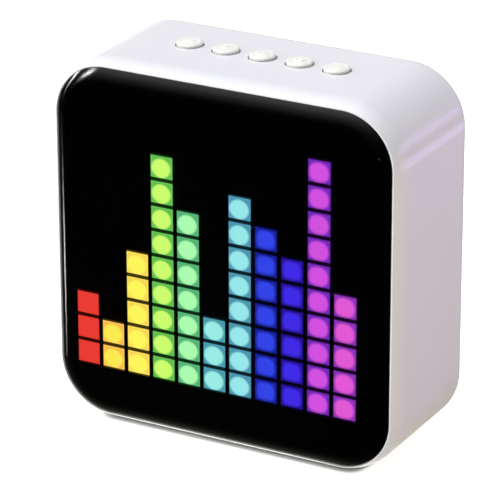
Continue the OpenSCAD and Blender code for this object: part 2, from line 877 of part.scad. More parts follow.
module port_board() {
    color("darkgreen") placed() difference() {
        block([port_x - port_w / 2, inlet_y0 - port_t, port_z - port_h / 2],
            [port_x + port_w / 2, inlet_y0, port_z + port_h / 2]);
        for (s = [-1, 1]) {
            rod_y(port_x, port_z + s * port_post_z, small_screw_r + slack,
                inlet_y0 - port_t - cut, inlet_y0 + cut);
        }
    }
}

module port_screws() {
    color("silver") placed() for (s = [-1, 1]) {
        screw_y(port_x, port_z + s * port_post_z, small_head_r, small_screw_r,
            inlet_y0 - port_t - small_head_h, inlet_y0 - port_t, inlet_y0 + small_bite - hole_spare);
    }
}

module usb_socket() {
    color("silver") placed() difference() {
        along_y(inlet_y0, inlet_y1) inlet_outline(0);
        along_y(inlet_y0 + inlet_floor, inlet_y1 + cut) inlet_outline(-inlet_wall);
    }
}

module usb_tongue() {
    color("black") placed() block([port_x - tongue_w / 2, inlet_y0 + inlet_floor, port_z - tongue_t / 2],
        [port_x + tongue_w / 2, inlet_y1 - tongue_sink, port_z + tongue_t / 2]);
}

module port_leads() {
    color("firebrick") placed() for (s = [-1, 1]) {
        rod_y(port_socket[0] + s * lead_step / 2, port_socket[1], lead_r, socket_y, inlet_y0 - port_t);
    }
}

module grille_mesh() {
    color("black") placed() rod_y(0, speaker_z, flange_in_r - mesh_in, cover_y0 - mesh_t, cover_y0);
}

module speaker_gasket() {
    color("black") placed() difference() {
        rod_y(0, speaker_z, speaker_r, flange_y1, cover_y0);
        rod_y(0, speaker_z, flange_in_r, flange_y1 - cut, cover_y0 + cut);
        for (k = [0 : 3]) {
            rod_y(speaker_screw_pcr * cos(45 + 90 * k), speaker_z + speaker_screw_pcr * sin(45 + 90 * k),
                speaker_screw_r + slack, flange_y1 - cut, cover_y0 + cut);
        }
    }
}

// Pressed basket: flange, sloping wall with four windows, and the ring on the motor
module speaker_basket() {
    foot_in_r = gap_r + basket_foot_gap;
    foot_out_r = magnet_r - motor_step / 2;
    color("dimgray") placed() difference() {
        turned_y(0, speaker_z) {
            translate([flange_in_r, flange_y0]) square([speaker_r - flange_in_r, speaker_flange_t]);
            polygon([[foot_in_r, motor_y], [foot_out_r, motor_y],
                [flange_in_r + basket_skin, flange_y0], [flange_in_r, flange_y0],
                [foot_out_r - basket_skin, motor_y + basket_skin], [foot_in_r, motor_y + basket_skin]]);
        }
        for (turn = [0, 90]) {
            translate([0, 0, speaker_z]) rotate([0, turn, 0])
                block([-speaker_r, motor_y + 2 * basket_skin, -basket_window_w / 2],
                    [speaker_r, flange_y0 - basket_skin, basket_window_w / 2]);
        }
        for (k = [0 : 3]) {
            rod_y(speaker_screw_pcr * cos(45 + 90 * k), speaker_z + speaker_screw_pcr * sin(45 + 90 * k),
                speaker_screw_r + slack, flange_y0 - cut, flange_y1 + cut);
        }
    }
}

module speaker_top_plate() {
    color("silver") placed() turned_y(0, speaker_z)
        translate([gap_r, motor_y - top_plate_t]) square([magnet_r - motor_step - gap_r, top_plate_t]);
}

module speaker_magnet() {
    color("dimgray") placed() turned_y(0, speaker_z)
        translate([gap_r + magnet_in_gap, magnet_y])
            square([magnet_r - gap_r - magnet_in_gap, magnet_t]);
}

// Back plate and pole in one piece
module speaker_yoke() {
    color("silver") placed() turned_y(0, speaker_z) {
        translate([0, yoke_y]) square([magnet_r - motor_step, back_plate_t]);
        translate([0, yoke_y]) square([pole_r, motor_y - yoke_y]);
    }
}

// Half roll between the cone and the flange
module speaker_surround() {
    roll_r = (roll_out_r - roll_in_r) / 2;
    mid_r = (roll_out_r + roll_in_r) / 2;
    color("black") placed() turned_y(0, speaker_z) intersection() {
        translate([mid_r, flange_y0]) difference() {
            circle(r = roll_r);
            circle(r = roll_r - roll_t);
        }
        translate([mid_r - roll_r, flange_y0]) square([2 * roll_r, roll_r]);
    }
}

module speaker_cone() {
    color("black") placed() turned_y(0, speaker_z) polygon([[coil_in_r, neck_y], [cone_r, cone_edge_y],
        [cone_r, cone_edge_y + cone_t], [coil_in_r, neck_y + cone_t]]);
}

module voice_coil() {
    color("peru") placed() turned_y(0, speaker_z)
        translate([coil_in_r, motor_y - top_plate_t - coil_dip])
            square([coil_out_r - coil_in_r, neck_y - motor_y + top_plate_t + coil_dip]);
}

module dust_cap() {
    middle = cap_y - sqrt(cap_ball_r * cap_ball_r - cap_r * cap_r);
    color("black") placed() turned_y(0, speaker_z) intersection() {
        translate([0, middle]) difference() {
            circle(r = cap_ball_r);
            circle(r = cap_ball_r - cap_t);
        }
        translate([0, cap_y]) square([cap_r, cap_ball_r]);
    }
}

module speaker_screws() {
    color("silver") placed() for (k = [0 : 3]) {
        screw_y(speaker_screw_pcr * cos(45 + 90 * k), speaker_z + speaker_screw_pcr * sin(45 + 90 * k),
            small_head_r, speaker_screw_r, flange_y0 - small_head_h, flange_y0, cover_y0 + speaker_bite);
    }
}

module speaker_leads() {
    x = speaker_socket[0];
    y = flange_y0 - lead_rise;
    z = speaker_socket[1];
    end_x = -(flange_in_r + speaker_r) / 2;
    color("firebrick") placed()
        lead_pair([[x, socket_y, z], [x, y, z], [end_x, y, z], [end_x, flange_y0, z]], [0, 0, 1]);
}

module button_board() {
    color("darkgreen") placed() difference() {
        block([-button_board_x, button_row_y - button_board_w / 2, button_board_bottom],
            [button_board_x, button_row_y + button_board_w / 2, button_board_top]);
        for (sx = [-1, 1]) {
            rod_z(sx * button_post_x, button_row_y, small_screw_r + slack,
                button_board_bottom - cut, button_board_top + cut);
        }
    }
}

module button_board_screws() {
    color("silver") placed() for (sx = [-1, 1]) {
        rod_z(sx * button_post_x, button_row_y, small_head_r,
            button_board_bottom - small_head_h, button_board_bottom);
        rod_z(sx * button_post_x, button_row_y, small_screw_r,
            button_board_bottom, button_board_top + small_bite);
    }
}

// Five push switches, each with a well for its plunger
module tact_switches() {
    color("silver") placed() for (x = button_xs) {
        difference() {
            block([x - switch_w / 2, button_row_y - switch_w / 2, switch_bottom],
                [x + switch_w / 2, button_row_y + switch_w / 2, switch_top]);
            rod_z(x, button_row_y, plunger_r + plunger_gap,
                plunger_bottom - button_travel - plunger_room, switch_top + cut);
        }
    }
}

module button_leads() {
    x = button_socket[0];
    y = button_row_y + button_lead_back;
    z = button_socket[1];
    color("firebrick") placed()
        lead_pair([[x, socket_y, z], [x, y, z], [x, y, button_board_bottom]], [1, 0, 0]);
}

// A button: domed cap with a rounded rim, retaining flange and stem
module button(i) {
    side = button_top - button_dome - button_rim_r;
    dome_r = (button_r * button_r + button_dome * button_dome) / (2 * button_dome);
    color("white") placed() translate([button_xs[i], button_row_y, 0]) rotate_extrude() {
        translate([0, plunger_top]) square([stem_r, flange_bottom - plunger_top]);
        translate([0, flange_bottom]) square([button_r + button_flange_w, button_flange_t]);
        translate([0, flange_top]) square([button_r, side - flange_top]);
        intersection() {
            translate([0, side]) square([button_r, button_top - side]);
            translate([0, button_top - dome_r]) circle(r = dome_r);
            union() {
                square([button_r - button_rim_r, button_top]);
                translate([button_r - button_rim_r, side]) circle(r = button_rim_r);
            }
        }
    }
}

module plunger(i) {
    color("black") placed() rod_z(button_xs[i], button_row_y, plunger_r, plunger_bottom, plunger_top);
}

front_shell();
rear_cover();
rear_screws();
feet();
display_lens();
lens_adhesive();
diffuser_sheet();
led_baffle();
led_board();
leds();
led_drivers();
display_screws();
microphone();
board_header();
main_board();
main_board_screws();
main_chips();
radio_shield();
lead_sockets();
backup_clip();
backup_cell();
battery_cradle();
battery_cell();
battery_strap();
battery_leads();
port_board();
port_screws();
usb_socket();
usb_tongue();
port_leads();
grille_mesh();
speaker_gasket();
speaker_basket();
speaker_top_plate();
speaker_magnet();
speaker_yoke();
speaker_surround();
speaker_cone();
voice_coil();
dust_cap();
speaker_screws();
speaker_leads();
button_board();
button_board_screws();
tact_switches();
button_leads();
button(0);  // button_1
button(1);  // button_2
button(2);  // button_3
button(3);  // button_4
button(4);  // button_5
plunger(0);  // plunger_1
plunger(1);  // plunger_2
plunger(2);  // plunger_3
plunger(3);  // plunger_4
plunger(4);  // plunger_5
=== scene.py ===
"""Looks of the pixel desk clock: materials, the lit display, button signs, screws, studio."""
import colorsys
import json
import math

import bpy
from mathutils import Matrix, Vector


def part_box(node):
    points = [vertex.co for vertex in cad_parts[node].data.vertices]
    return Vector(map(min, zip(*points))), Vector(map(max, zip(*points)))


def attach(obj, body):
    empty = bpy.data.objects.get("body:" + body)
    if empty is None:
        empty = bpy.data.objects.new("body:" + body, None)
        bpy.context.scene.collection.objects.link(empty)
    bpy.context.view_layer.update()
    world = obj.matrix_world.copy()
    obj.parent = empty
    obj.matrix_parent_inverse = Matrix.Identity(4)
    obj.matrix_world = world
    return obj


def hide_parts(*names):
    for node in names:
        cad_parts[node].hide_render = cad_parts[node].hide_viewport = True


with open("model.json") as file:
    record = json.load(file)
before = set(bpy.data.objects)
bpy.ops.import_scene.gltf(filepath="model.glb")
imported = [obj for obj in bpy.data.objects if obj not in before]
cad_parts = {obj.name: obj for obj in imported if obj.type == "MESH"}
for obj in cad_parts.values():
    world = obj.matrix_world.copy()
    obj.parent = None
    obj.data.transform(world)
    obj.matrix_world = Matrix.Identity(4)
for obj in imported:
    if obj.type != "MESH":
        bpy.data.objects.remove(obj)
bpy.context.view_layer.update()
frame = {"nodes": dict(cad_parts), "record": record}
nodes = frame["nodes"]
slot_of = {part["node"]: part["material_slot"] for part in frame["record"]["subparts"]}
MM = 0.001

# Columns of the display, from the left: how many pixels are lit, hue in degrees, saturation and
# value of the disc over the LED and of the rest of the cell, and how far the cell fades at its
# edge, from 0 for a crisp pale edge to 1 for a dark one
COLUMNS = (
    (3, (1, 0.96, 0.82), (1, 0.96, 0.80), 0.3),
    (2, (51, 0.91, 0.95), (30, 0.91, 0.92), 0.0),
    (5, (56, 0.89, 0.98), (42, 0.90, 0.92), 0.0),
    (9, (88, 0.84, 0.98), (115, 0.84, 0.50), 0.0),
    (7, (123, 0.58, 0.97), (134, 0.80, 0.44), 0.0),
    (3, (172, 0.62, 0.84), (196, 0.83, 0.41), 0.1),
    (8, (182, 0.62, 0.82), (203, 0.83, 0.43), 0.1),
    (7, (238, 0.96, 0.80), (239, 0.97, 0.50), 1.0),
    (6, (242, 0.97, 0.80), (243, 0.98, 0.52), 1.0),
    (10, (291, 0.89, 0.74), (260, 0.95, 0.56), 0.7),
    (5, (309, 0.87, 0.76), (271, 0.93, 0.57), 0.7),
)
COLS = len(COLUMNS)
ROWS = 11
LED_WIDTH = 3.0 * MM
# How bright the pixels are, so that they show well through the smoked lens
PIXEL_GLOW = 2.04

# One cell of the display, in shares of its pitch from the middle. The window of the light well sits
# a little to the left, and the disc over the LED a little to the left and below.
WINDOW_WIDE = 0.418
WINDOW_TALL = 0.425
WINDOW_SOFT = 0.02
WINDOW_LEFT = 0.022
WALL_GLOW = 0.04
DISC_ASIDE = 0.045
DISC_FULL = 0.31
# Where the disc ends, where the edge of the cell starts and how it glows: crisp cell, faded cell
DISC_END = (0.42, 0.47)
EDGE_START = (0.36, 0.26)
EDGE_GLOW = (1.22, 0.47)
EDGE_END = 0.415
EDGE_MORE_AT_SIDES = 0.01


class Tree:
    """A small helper that builds the nodes of one material, on a Principled shader, or of a world."""

    def __init__(self, name, world=None):
        if world:
            self.tree = world.node_tree
            self.coord = self.node("ShaderNodeTexCoord").outputs["Generated"]
            return
        self.mat = bpy.data.materials.new(name)
        self.mat.use_nodes = True
        self.tree = self.mat.node_tree
        self.tree.nodes.clear()
        out = self.node("ShaderNodeOutputMaterial")
        self.bsdf = self.node("ShaderNodeBsdfPrincipled")
        self.put(self.bsdf.outputs[0], out.inputs["Surface"])
        self.coord = self.node("ShaderNodeTexCoord").outputs["Object"]

    def node(self, kind, **settings):
        made = self.tree.nodes.new(kind)
        for key, value in settings.items():
            setattr(made, key, value)
        return made

    def put(self, value, socket):
        """Link a node's output to a socket, or set the socket to a plain value."""
        if isinstance(value, bpy.types.NodeSocket):
            self.tree.links.new(value, socket)
        else:
            socket.default_value = value

    def set(self, **values):
        """Set sockets of the Principled shader by name, with _ for a space."""
        for name, value in values.items():
            self.put(value, self.bsdf.inputs[name.replace("_", " ")])

    def math(self, operation, a, b=0.0, c=0.0):
        made = self.node("ShaderNodeMath", operation=operation)
        for value, socket in zip((a, b, c), made.inputs):
            self.put(value, socket)
        return made.outputs[0]

    def xyz(self):
        made = self.node("ShaderNodeSeparateXYZ")
        self.put(self.coord, made.inputs[0])
        return made.outputs

    def vector_math(self, operation, a, b):
        made = self.node("ShaderNodeVectorMath", operation=operation)
        self.put(a, made.inputs[0])
        self.put(b, made.inputs["Scale" if operation == "SCALE" else 1])
        return made.outputs["Value" if operation == "DOT_PRODUCT" else 0]

    def dot(self, vector):
        return self.vector_math("DOT_PRODUCT", self.coord, vector)

    def stretched(self, scale):
        return self.vector_math("MULTIPLY", self.coord, scale)

    def noise(self, scale, detail=3.0, rough=0.5, vector=None):
        made = self.node("ShaderNodeTexNoise")
        self.put(vector or self.coord, made.inputs["Vector"])
        self.put(scale, made.inputs["Scale"])
        self.put(detail, made.inputs["Detail"])
        self.put(rough, made.inputs["Roughness"])
        return made.outputs["Fac"]

    def span(self, value, low, high, to_low=0.0, to_high=1.0, smooth=False):
        """Value taken from the range low to high into the range to_low to to_high."""
        kind = "SMOOTHSTEP" if smooth else "LINEAR"
        made = self.node("ShaderNodeMapRange", interpolation_type=kind)
        for given, socket in zip((value, low, high, to_low, to_high), made.inputs):
            self.put(given, socket)
        return made.outputs[0]

    def wave(self, value, length):
        """A sine wave along a coordinate, from 0 to 1."""
        sine = self.math("SINE", self.math("MULTIPLY", value, 2 * math.pi / length))
        return self.span(sine, -1.0, 1.0)

    def mix(self, factor, a, b):
        made = self.node("ShaderNodeMix", data_type="RGBA")
        self.put(factor, made.inputs[0])
        self.put(rgba(a), made.inputs[6])
        self.put(rgba(b), made.inputs[7])
        return made.outputs[2]

    def bump(self, height, strength, distance):
        made = self.node("ShaderNodeBump")
        self.put(strength, made.inputs["Strength"])
        self.put(distance, made.inputs["Distance"])
        self.put(height, made.inputs["Height"])
        return made.outputs[0]


def rgba(colour):
    if isinstance(colour, bpy.types.NodeSocket):
        return colour
    return (*colour, 1.0)[:4]


def shaded(colour, factor):
    return tuple(min(1.0, part * factor) for part in colour)


def moulded(name, colour, rough, grain=2200.0, depth=0.012, tone=0.03, sheen=0.04):
    """Moulded plastic: fine spark-eroded grain of a depth in mm, slow flow tone and a little change
    of gloss."""
    m = Tree(name)
    flow = m.noise(scale=34.0, detail=2.0)
    fine = m.noise(scale=grain, detail=2.0, rough=0.6)
    wear = m.noise(scale=150.0)
    m.set(Base_Color=m.mix(flow, shaded(colour, 1 - tone), shaded(colour, 1 + tone * 0.5)),
          Roughness=m.span(wear, 0.3, 0.7, rough - sheen, rough + sheen),
          Normal=m.bump(fine, 0.25, depth * MM), IOR=1.49)
    return m


def metal(name, colour, rough, stretch=(1.0, 1.0, 1.0)):
    """Plated or brushed metal with drawn lines along one direction."""
    m = Tree(name)
    lines = m.noise(scale=1800.0, rough=0.7, vector=m.stretched(stretch))
    stain = m.noise(scale=90.0, detail=4.0)
    m.set(Base_Color=m.mix(stain, shaded(colour, 0.82), shaded(colour, 1.06)), Metallic=1.0,
          Roughness=m.span(lines, 0.25, 0.75, rough - 0.08, rough + 0.12),
          Normal=m.bump(lines, 0.2, 0.01 * MM))
    return m


def rubbery(name, colour, rough=0.8):
    """Rubber, foam or ferrite: a gritty dull skin with a little dust."""
    m = Tree(name)
    grit = m.noise(scale=3500.0, detail=2.0, rough=0.7)
    dust = m.noise(scale=120.0, detail=4.0)
    m.set(Base_Color=m.mix(m.span(dust, 0.45, 0.75), colour, shaded(colour, 1.35)),
          Roughness=m.span(grit, 0.3, 0.7, rough - 0.08, rough + 0.08),
          Normal=m.bump(grit, 0.5, 0.03 * MM), IOR=1.5)
    return m


def from_middle(m, value):
    """Distance from the middle of the nearest whole cell."""
    return m.math("ABSOLUTE", m.math("SUBTRACT", m.math("FRACT", value), 0.5))


def circuit(name, colour):
    """Solder mask over copper tracks: tracks show lighter along a square lattice."""
    m = Tree(name)
    x, y, z = m.xyz()
    cell = 2.4 * MM
    warp = m.noise(scale=70.0, detail=1.0)
    u = m.math("ADD", m.math("DIVIDE", x, cell), m.math("MULTIPLY", warp, 2.0))
    v = m.math("ADD", m.math("DIVIDE", m.math("ADD", z, y), cell), m.math("MULTIPLY", warp, 3.0))
    pick = m.math("GREATER_THAN", m.noise(scale=260.0, detail=0.0), 0.5)
    near = m.math("ADD", m.math("MULTIPLY", from_middle(m, u), pick),
                  m.math("MULTIPLY", from_middle(m, v), m.math("SUBTRACT", 1.0, pick)))
    track = m.span(near, 0.12, 0.18, 1.0, 0.0)
    m.set(Base_Color=m.mix(track, colour, shaded(colour, 1.9)), Roughness=0.38,
          Normal=m.bump(track, 0.4, 0.035 * MM), IOR=1.52)
    return m


def woven(name, colour):
    """Plain weave of fine threads, for the mesh behind the grille, with painted highlight and shade."""
    m = Tree(name)
    x, _, z = m.xyz()
    turns = 2 * math.pi / (0.45 * MM)
    warp = m.math("SINE", m.math("MULTIPLY", x, turns))
    weft = m.math("SINE", m.math("MULTIPLY", z, turns))
    lift = m.span(m.math("MULTIPLY", warp, weft), -1.0, 1.0)
    # Painted highlight on the raised threads and painted shade where they dip: the colour follows the
    # height
    m.set(Base_Color=m.mix(lift, shaded(colour, 0.5), shaded(colour, 1.8)), Roughness=0.85,
          Normal=m.bump(lift, 0.6, 0.08 * MM), Sheen_Weight=0.2, IOR=1.45)
    return m


def pulp(name, colour):
    """Pressed paper with fibres."""
    m = Tree(name)
    fibre = m.noise(scale=900.0, detail=5.0, rough=0.7, vector=m.stretched((1.0, 3.0, 1.0)))
    m.set(Base_Color=m.mix(fibre, shaded(colour, 0.7), shaded(colour, 1.7)), Roughness=0.9,
          Normal=m.bump(fibre, 0.5, 0.05 * MM), IOR=1.45)
    return m


def wound(name, colour):
    """Fine copper wire, turn by turn, with painted shade between the turns."""
    m = Tree(name)
    lift = m.wave(m.xyz()[1], 0.18 * MM)
    # Painted shade in the grooves between the turns: the colour darkens where the wire dips
    m.set(Base_Color=m.mix(lift, shaded(colour, 0.6), colour), Metallic=1.0, Roughness=0.3,
          Normal=m.bump(lift, 0.5, 0.05 * MM))
    return m


def lens_material():
    """Polished smoked acrylic: black by itself, and see-through to the light behind it."""
    m = Tree("smoked_acrylic")
    smear = m.noise(scale=60.0, detail=4.0, rough=0.6, vector=m.stretched((1.0, 1.0, 2.2)))
    m.set(Base_Color=m.mix(smear, (0.0002, 0.0002, 0.0003), (0.0005, 0.0005, 0.0006)),
          Roughness=m.span(smear, 0.35, 0.75, 0.02, 0.04),
          IOR=1.7, Alpha=0.3, Specular_IOR_Level=1.0)
    return m


def column_ramp(m, column, colours):
    """One colour for each column of the display."""
    made = m.node("ShaderNodeValToRGB")
    ramp = made.color_ramp
    ramp.interpolation = "CONSTANT"
    for i, colour in enumerate(colours):
        stop = ramp.elements[i] if i < len(ramp.elements) else ramp.elements.new(i / COLS)
        stop.position = i / COLS
        stop.color = rgba(colour)
    m.put(m.math("DIVIDE", m.math("ADD", column, 0.5), float(COLS)), made.inputs[0])
    return made.outputs[0]


def from_hsv(hue, saturation, value):
    return colorsys.hsv_to_rgb(hue / 360, saturation, value)


def display_place(m):
    """Place on the display counted in cells, from its lower left corner."""
    lo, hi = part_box("leds")
    pitch_x = (hi.x - lo.x - LED_WIDTH) / (COLS - 1)
    pitch_z = (hi.z - lo.z - LED_WIDTH) / (ROWS - 1)
    left = lo.x + LED_WIDTH / 2 - pitch_x / 2
    low = lo.z + LED_WIDTH / 2 - pitch_z / 2
    x, _, z = m.xyz()
    u = m.math("DIVIDE", m.math("SUBTRACT", x, left), pitch_x)
    v = m.math("DIVIDE", m.math("SUBTRACT", z, low), pitch_z)
    return u, v


def lit_cells(m, u, v, column):
    """1 in a cell that is lit, 0 in the others and outside the display."""
    inside = m.math("MULTIPLY", m.math("COMPARE", u, COLS / 2, COLS / 2),
                    m.math("GREATER_THAN", v, 0.0))
    share = column_ramp(m, column, [(lit / ROWS,) * 3 for lit, *_ in COLUMNS])
    height = m.math("MULTIPLY", float(ROWS), share)
    middle = m.math("ADD", m.math("FLOOR", v), 0.5)
    return m.math("MULTIPLY", inside, m.math("LESS_THAN", middle, height))


def faded(m, fade, crisp_and_faded):
    """A value between that of a crisp cell and that of a faded one."""
    crisp, dull = crisp_and_faded
    return m.math("MULTIPLY_ADD", fade, dull - crisp, crisp)


def cell_light(m, across, up, fade):
    """Light of a lit cell: the window of its light well, with a little light on the walls above and
    below it, and an edge that is paler or darker than the rest."""
    wide = m.math("ABSOLUTE", m.math("ADD", across, WINDOW_LEFT))
    tall = m.math("ABSOLUTE", up)
    sides = m.span(wide, WINDOW_WIDE - WINDOW_SOFT, WINDOW_WIDE + WINDOW_SOFT, 1.0, 0.0, smooth=True)
    ends = m.span(tall, WINDOW_TALL - WINDOW_SOFT, WINDOW_TALL + WINDOW_SOFT, 1.0, WALL_GLOW,
                  smooth=True)
    reach = m.math("MAXIMUM", m.math("ADD", wide, EDGE_MORE_AT_SIDES), tall)
    edge = m.span(reach, faded(m, fade, EDGE_START), EDGE_END, 1.0, faded(m, fade, EDGE_GLOW),
                  smooth=True)
    return m.math("MULTIPLY", m.math("MULTIPLY", sides, ends), edge)


def cell_disc(m, across, up, fade):
    """The bright disc over the LED of a cell."""
    x = m.math("ADD", across, DISC_ASIDE)
    z = m.math("ADD", up, DISC_ASIDE)
    radius = m.math("SQRT", m.math("ADD", m.math("MULTIPLY", x, x), m.math("MULTIPLY", z, z)))
    return m.span(radius, DISC_FULL, faded(m, fade, DISC_END), 1.0, 0.0, smooth=True)


def pixel_material():
    """Diffuser film over the light wells: each lit pixel glows, with a bright disc over its LED."""
    m = Tree("pixel_film")
    u, v = display_place(m)
    column = m.math("FLOOR", u)
    across = m.math("SUBTRACT", m.math("FRACT", u), 0.5)
    up = m.math("SUBTRACT", m.math("FRACT", v), 0.5)
    fade = column_ramp(m, column, [(row[3],) * 3 for row in COLUMNS])
    cell_colour = column_ramp(m, column, [from_hsv(*row[2]) for row in COLUMNS])
    disc_colour = column_ramp(m, column, [from_hsv(*row[1]) for row in COLUMNS])
    light = m.math("MULTIPLY", lit_cells(m, u, v, column), cell_light(m, across, up, fade))
    fleck = m.noise(scale=2600.0, detail=2.0)
    m.set(Base_Color=m.mix(fleck, (0.0004, 0.0004, 0.0005), (0.001, 0.001, 0.0011)), Roughness=0.7,
          Normal=m.bump(fleck, 0.2, 0.01 * MM), IOR=1.5, Specular_IOR_Level=0.0,
          Emission_Color=m.mix(cell_disc(m, across, up, fade), cell_colour, disc_colour),
          Emission_Strength=m.math("MULTIPLY", light, PIXEL_GLOW))
    return m


WHITE = (0.695, 0.70, 0.737)
BUTTON_WHITE = (0.75, 0.752, 0.72)
LOOKS = {
    "white_shell": moulded("satin_white", WHITE, 0.19, depth=0.001, tone=0.004, sheen=0.01),
    "white_cover": moulded("matt_white", shaded(WHITE, 0.97), 0.5, grain=1500.0, depth=0.03),
    "white_button": moulded("button_white", BUTTON_WHITE, 0.3, depth=0.003, tone=0.01, sheen=0.02),
    "dark_screw": metal("black_oxide", (0.10, 0.10, 0.105), 0.4),
    "rubber_foot": rubbery("foot_rubber", (0.06, 0.06, 0.062)),
    "black_lens": lens_material(),
    "black_foam": rubbery("black_foam", (0.02, 0.02, 0.02), 0.9),
    "smoked_diffuser": pixel_material(),
    "black_plastic": moulded("matt_black", (0.012, 0.012, 0.012), 0.55, depth=0.03, tone=0.2),
    "circuit_board": circuit("solder_mask", (0.012, 0.09, 0.035)),
    "led_package": moulded("led_resin", (0.75, 0.70, 0.5), 0.3),
    "chip_black": moulded("chip_epoxy", (0.02, 0.02, 0.022), 0.5, grain=4000.0, depth=0.03, tone=0.2),
    "steel_screw": metal("zinc_plate", (0.60, 0.61, 0.63), 0.3),
    "steel_can": metal("tinned_steel", (0.68, 0.67, 0.65), 0.28, (1.0, 8.0, 1.0)),
    "ivory_plastic": moulded("ivory_nylon", (0.72, 0.68, 0.52), 0.5),
    "blue_wrap": moulded("shrink_wrap", (0.03, 0.09, 0.30), 0.25, depth=0.02, tone=0.1),
    "red_lead": moulded("lead_sleeve", (0.35, 0.015, 0.015), 0.45),
    "black_mesh": woven("grille_cloth", (0.015, 0.015, 0.016)),
    "pressed_steel": moulded("basket_paint", (0.03, 0.03, 0.033), 0.4, depth=0.03, tone=0.2),
    "plated_iron": metal("yellow_zinc", (0.62, 0.56, 0.38), 0.32),
    "ferrite": rubbery("ferrite", (0.045, 0.045, 0.05), 0.6),
    "black_rubber": rubbery("surround_rubber", (0.018, 0.018, 0.018), 0.6),
    "cone_paper": pulp("cone_paper", (0.02, 0.02, 0.02)),
    "copper_coil": wound("copper_winding", (0.72, 0.32, 0.16)),
}


def dress(obj, slot_name):
    obj.data.materials.clear()
    obj.data.materials.append(LOOKS[slot_name].mat)


def mesh_object(name, verts, faces, smooth=True):
    mesh = bpy.data.meshes.new(name)
    mesh.from_pydata(verts, [], faces)
    mesh.validate()
    for face in mesh.polygons:
        face.use_smooth = smooth
    obj = bpy.data.objects.new(name, mesh)
    bpy.context.scene.collection.objects.link(obj)
    return obj


def mesh_piece(name, verts, faces, body, slot_name, stands_for, smooth=True):
    """A piece of the clock that rides on a body and may stand for CAD nodes."""
    obj = mesh_object(name, verts, faces, smooth)
    dress(obj, slot_name)
    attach(obj, body)
    if stands_for:
        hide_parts(*stands_for)
    return obj


def soften(obj):
    """Smooth shading that keeps the sharper edges."""
    obj.data.set_sharp_from_angle(angle=math.radians(40))


def quarter(steps):
    """Angles of a quarter turn, without its start."""
    return [math.pi / 2 * k / steps for k in range(1, steps + 1)]


def circle(segs, r):
    """Points of a circle."""
    angles = [2 * math.pi * k / segs for k in range(segs)]
    return [(r * math.cos(a), r * math.sin(a)) for a in angles]


def band(segs, a, b):
    """Faces between two closed rows of points that start at a and at b."""
    following = [(k + 1) % segs for k in range(segs)]
    return [(a + k, a + n, b + n, b + k) for k, n in enumerate(following)]


def turned(profile, segs, top, rings):
    """Solid of revolution about Z. profile runs from the axis at the bottom outward and up, as
    (r, z), to the edge of the top field. top(x, y) gives the height of that field."""
    verts = [(0.0, 0.0, profile[0][1])]
    for r, z in profile[1:]:
        verts += [(x, y, z) for x, y in circle(segs, r)]
    edge_r = profile[-1][0]
    for i in range(1, rings):
        verts += [(x, y, top(x, y)) for x, y in circle(segs, edge_r * (1 - i / rings))]
    last = len(verts) - segs
    faces = [(0, 1 + (k + 1) % segs, 1 + k) for k in range(segs)]
    for start in range(1, last, segs):
        faces += band(segs, start, start + segs)
    verts.append((0.0, 0.0, top(0.0, 0.0)))
    faces += [(last + k, last + (k + 1) % segs, last + segs) for k in range(segs)]
    return verts, faces


def clamp01(t):
    return max(0.0, min(1.0, t))


def ease(t):
    """A soft step from 0 to 1."""
    t = clamp01(t)
    return t * t * (3 - 2 * t)


def bar(x, y, ax, ay, bx, by):
    """Distance from a point to a straight stroke."""
    dx = bx - ax
    dy = by - ay
    t = clamp01(((x - ax) * dx + (y - ay) * dy) / (dx * dx + dy * dy))
    return math.hypot(x - ax - t * dx, y - ay - t * dy)


def strokes(*points):
    """A sign drawn in one line through points in mm, as a function that gives the distance to it."""
    pairs = list(zip(points, points[1:]))
    return lambda x, y: min(bar(x, y, *a, *b) for a, b in pairs)


def sign_power(x, y):
    """An open ring with a stroke in its gap."""
    half_gap = 0.55
    far_off = 9.0
    in_gap = abs(math.atan2(x, y)) < half_gap
    ring = far_off if in_gap else abs(math.hypot(x, y) - 1.05)
    return min(ring, bar(x, y, 0, 0.35, 0, 1.35))


sign_minus = strokes((-1.05, 0), (1.05, 0))
sign_back = strokes((0.55, 1.0), (-0.55, 0.0), (0.55, -1.0))
sign_square = strokes((-0.85, -0.85), (0.85, -0.85), (0.85, 0.85), (-0.85, 0.85), (-0.85, -0.85))
sign_play = strokes((-0.7, -1.0), (1.0, 0.0), (-0.7, 1.0), (-0.7, -1.0))
SIGNS = (sign_minus, sign_back, sign_power, sign_square, sign_play)

# Buttons, in mm: stem, flange under the top of the case, rounded cap with a shallow dish, and the
# raised sign. SIGN_FOOT is half the width of a stroke at its foot.
STEM_R = 1.6
STEM_H = 0.7
FLANGE_H = 1.2
FLANGE_OUT = 0.85
CAP_RIM = 0.5
CAP_DOME = 0.25
DISH_DEPTH = 0.13
DISH_SLOPE = 0.7
SIGN_LIFT = 0.13
SIGN_FOOT = 0.29
SIGN_FLANK = 0.14


